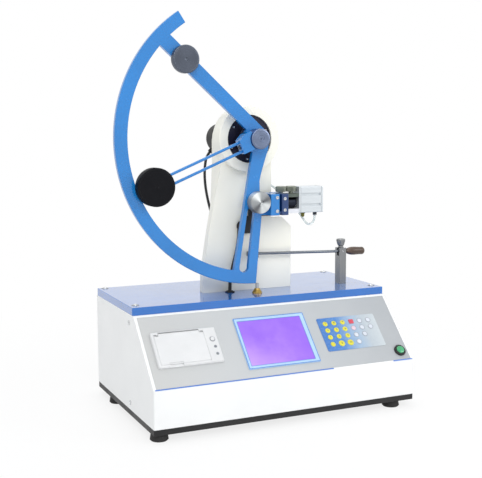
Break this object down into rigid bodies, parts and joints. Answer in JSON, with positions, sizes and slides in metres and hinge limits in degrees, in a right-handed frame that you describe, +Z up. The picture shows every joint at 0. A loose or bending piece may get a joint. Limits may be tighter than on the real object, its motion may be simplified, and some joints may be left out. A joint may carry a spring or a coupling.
{
  "type": "tear strength tester",
  "caption": "Bench pendulum tear tester: a sector pendulum on a column, swinging and standing clamps, a lever knife, and a cabinet with printer, display and keypad.",
  "frame": {"origin": "centre of the bounding box's bottom, at the underside of the feet", "axes": "+Z up, +X to the operator's right, +Y away from the operator, towards the rear wall"},
  "size_m": [0.4953, 0.328, 0.6785],
  "materials": {
    "blue_paint": "glossy blue enamel",
    "deck_blue": "glossy blue enamel",
    "ivory_paint": "satin ivory enamel",
    "white_paint": "satin white powder coat",
    "black_paint": "satin black",
    "panel_grey": "satin grey film on plate",
    "rubber": "matt black rubber",
    "steel": "turned and brushed steel",
    "grey_alloy": "grey anodised",
    "silver_alloy": "clear anodised",
    "dark_alloy": "dark anodised",
    "dark_steel": "blackened steel",
    "black_steel": "gloss black paint on steel",
    "brass": "turned brass",
    "wood": "dark oiled hardwood",
    "white_plastic": "moulded white plastic",
    "black_plastic": "moulded black plastic",
    "green_plastic": "translucent green cap",
    "keypad_film": "printed polyester film, blue fading to white",
    "key_yellow": "embossed film keys",
    "display_bezel": "pale blue bezel",
    "display_screen": "lit violet display",
    "paper": "thermal paper roll",
    "circuit_board": "green circuit board",
    "clear_tube": "clear polyurethane tube",
    "white_alloy": "white painted bar",
    "olive_alloy": "knurled grey green anodised"
  },
  "bodies": {
    "root": {"base_plate": "black_paint", "feet": "rubber", "housing": "white_paint", "front_panel": "panel_grey", "top_plate": "deck_blue", "housing_screws": "steel", "power_inlet": "black_plastic", "air_inlet": "brass", "control_board": "circuit_board", "solenoid_valve": "silver_alloy", "printer_body": "white_plastic", "display_frame": "display_bezel", "display_glass": "display_screen", "keypad": "keypad_film", "keys": "key_yellow", "button_bezel": "black_plastic", "column": "ivory_paint", "column_screws": "dark_steel", "bearing_flange": "steel", "pivot_bearings": "steel", "encoder": "black_plastic", "encoder_cable": "black_plastic", "grommets": "rubber", "clamp_bracket": "dark_alloy", "fixed_clamp": "blue_paint", "setting_screws": "olive_alloy", "air_cylinder": "silver_alloy", "cylinder_foot": "white_alloy", "vent_fitting": "brass", "push_fittings": "black_plastic", "air_tube": "clear_tube", "supply_hose": "black_plastic", "knife_post": "silver_alloy", "lever_pin": "steel", "pin_bush": "brass"},
    "pendulum": {"pendulum_frame": "blue_paint", "pivot_hub": "dark_alloy", "hub_cap": "grey_alloy", "pivot_shaft": "steel", "rod_block": "blue_paint", "balance_rods": "blue_paint", "main_weight": "black_steel", "upper_weight": "dark_steel", "clamp_body": "blue_paint", "clamp_screws": "steel"},
    "swing_jaw": {"clamp_jaw": "blue_paint", "jaw_screws": "steel"},
    "knob": {"clamp_knob": "steel"},
    "air_jaw": {"fixed_jaw": "blue_paint", "jaw_plunger": "black_plastic"},
    "knife": {"knife_lever": "steel", "knife_blade": "steel", "lever_handle": "wood"},
    "lock": {"lock_knob": "steel"},
    "catch": {"release_pin": "steel"},
    "start": {"start_button": "green_plastic"},
    "feed": {"feed_button": "white_plastic"},
    "rocker": {"power_rocker": "black_plastic"},
    "door": {"printer_door": "white_plastic"},
    "roll": {"paper_roll": "paper"}
  },
  "joints": [
    {"name": "pendulum_swing", "type": "hinge", "parent": "root", "child": "pendulum", "pos_m": [0.006, -0.024, 0.468], "axis": [0, -1, 0], "range_deg": [0, 150]},
    {"name": "clamp_knob_turn", "type": "hinge", "parent": "pendulum", "child": "knob", "pos_m": [0.0075, -0.034, 0.3585], "axis": [0, -1, 0], "range_deg": [0, 180]},
    {"name": "swing_jaw_slide", "type": "slide", "parent": "pendulum", "child": "swing_jaw", "axis": [-1, 0, 0], "range_m": [0, 0.0044]},
    {"name": "air_jaw_slide", "type": "slide", "parent": "root", "child": "air_jaw", "axis": [-1, 0, 0], "range_m": [0, 0.0045], "stiffness_N_per_m": 600},
    {"name": "knife_lift", "type": "hinge", "parent": "root", "child": "knife", "pos_m": [0.198, 0.004, 0.2575], "axis": [0, 1, 0], "range_deg": [0, 9.5]},
    {"name": "lock_knob_turn", "type": "hinge", "parent": "root", "child": "lock", "pos_m": [0.198, 0.0065, 0.267], "axis": [0, 0, 1], "range_deg": [0, 180]},
    {"name": "release_pin_lift", "type": "slide", "parent": "root", "child": "catch", "axis": [0, 0, 1], "range_m": [0, 0.005]},
    {"name": "start_press", "type": "slide", "parent": "root", "child": "start", "axis": [0, 0.7181, -0.6959], "range_m": [0, 0.0025], "stiffness_N_per_m": 400},
    {"name": "feed_press", "type": "slide", "parent": "root", "child": "feed", "axis": [0, 0.7181, -0.6959], "range_m": [0, 0.0008], "stiffness_N_per_m": 400},
    {"name": "power_switch", "type": "hinge", "parent": "root", "child": "rocker", "pos_m": [0.167, 0.149, 0.097], "axis": [0, 0, -1], "range_deg": [0, 12]},
    {"name": "door_open", "type": "hinge", "parent": "root", "child": "door", "pos_m": [-0.167, -0.09738, 0.15551], "axis": [-1, 0, 0], "range_deg": [0, 95]},
    {"name": "roll_turn", "type": "hinge", "parent": "root", "child": "roll", "pos_m": [-0.167, -0.09367, 0.12643], "axis": [1, 0, 0], "continuous": true}
  ],
  "couplings": [
    {"joint": "clamp_knob_turn", "follows": "swing_jaw_slide", "rad_per_m": 713.9}
  ]
}
